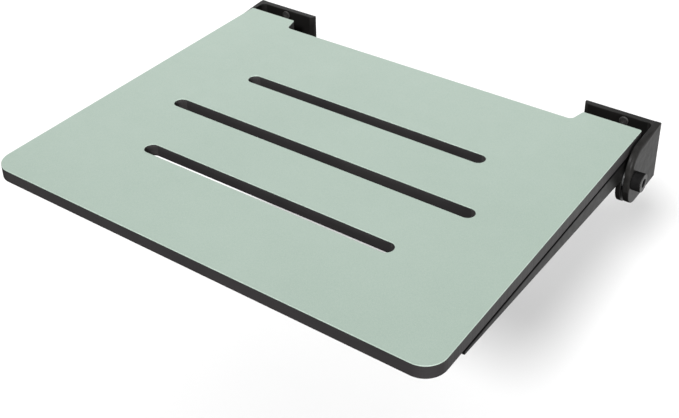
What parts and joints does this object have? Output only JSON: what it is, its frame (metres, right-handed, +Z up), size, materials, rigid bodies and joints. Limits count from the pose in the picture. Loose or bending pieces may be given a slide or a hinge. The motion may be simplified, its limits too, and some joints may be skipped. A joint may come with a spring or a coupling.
{
  "type": "fold-up shower seat",
  "caption": "Wall-hung fold-up shower seat: a slotted laminate board on two tapered arms that hinge between angle brackets screwed to the wall.",
  "frame": {"origin": "on the wall plane, midway between the two brackets, at the height of the hinge axis, which is mid-height of the wall plates", "axes": "+X to the right when facing the seat from the front, +Y into the wall, +Z up; the front edge of the seat faces -Y"},
  "size_m": [0.4958, 0.4, 0.0667],
  "materials": {
    "sage_laminate": "satin",
    "black_backing": "satin",
    "black_core": "matte",
    "bracket_coating_left": "satin powder coat",
    "arm_coating_left": "satin powder coat",
    "bolt_finish_left": "blackened",
    "spacer_plastic_left": "satin",
    "nut_steel_left": "satin",
    "wall_screw_finish_left": "blackened",
    "seat_screw_steel_left": "satin",
    "bracket_coating_right": "satin powder coat",
    "arm_coating_right": "satin powder coat",
    "bolt_finish_right": "blackened",
    "spacer_plastic_right": "satin",
    "nut_steel_right": "satin",
    "wall_screw_finish_right": "blackened",
    "seat_screw_steel_right": "satin"
  },
  "bodies": {
    "wall_brackets": {"bracket_left": "bracket_coating_left", "hinge_bolt_left": "bolt_finish_left", "spacer_washer_left": "spacer_plastic_left", "nut_washer_left": "nut_steel_left", "hinge_nut_left": "nut_steel_left", "wall_screw_left_top": "wall_screw_finish_left", "wall_screw_left_lower_inner": "wall_screw_finish_left", "wall_screw_left_lower_outer": "wall_screw_finish_left", "bracket_right": "bracket_coating_right", "hinge_bolt_right": "bolt_finish_right", "spacer_washer_right": "spacer_plastic_right", "nut_washer_right": "nut_steel_right", "hinge_nut_right": "nut_steel_right", "wall_screw_right_top": "wall_screw_finish_right", "wall_screw_right_lower_inner": "wall_screw_finish_right", "wall_screw_right_lower_outer": "wall_screw_finish_right"},
    "seat": {"seat_core": "black_core", "seat_top_face": "sage_laminate", "seat_bottom_face": "black_backing", "arm_left": "arm_coating_left", "seat_screw_left_front": "seat_screw_steel_left", "seat_screw_left_middle": "seat_screw_steel_left", "seat_screw_left_rear": "seat_screw_steel_left", "arm_right": "arm_coating_right", "seat_screw_right_front": "seat_screw_steel_right", "seat_screw_right_middle": "seat_screw_steel_right", "seat_screw_right_rear": "seat_screw_steel_right"}
  },
  "joints": [
    {"name": "seat_fold", "type": "hinge", "parent": "wall_brackets", "child": "seat", "pos_m": [0, -0.0575, 0], "axis": [-1, 0, 0], "range_deg": [0, 90]}
  ]
}
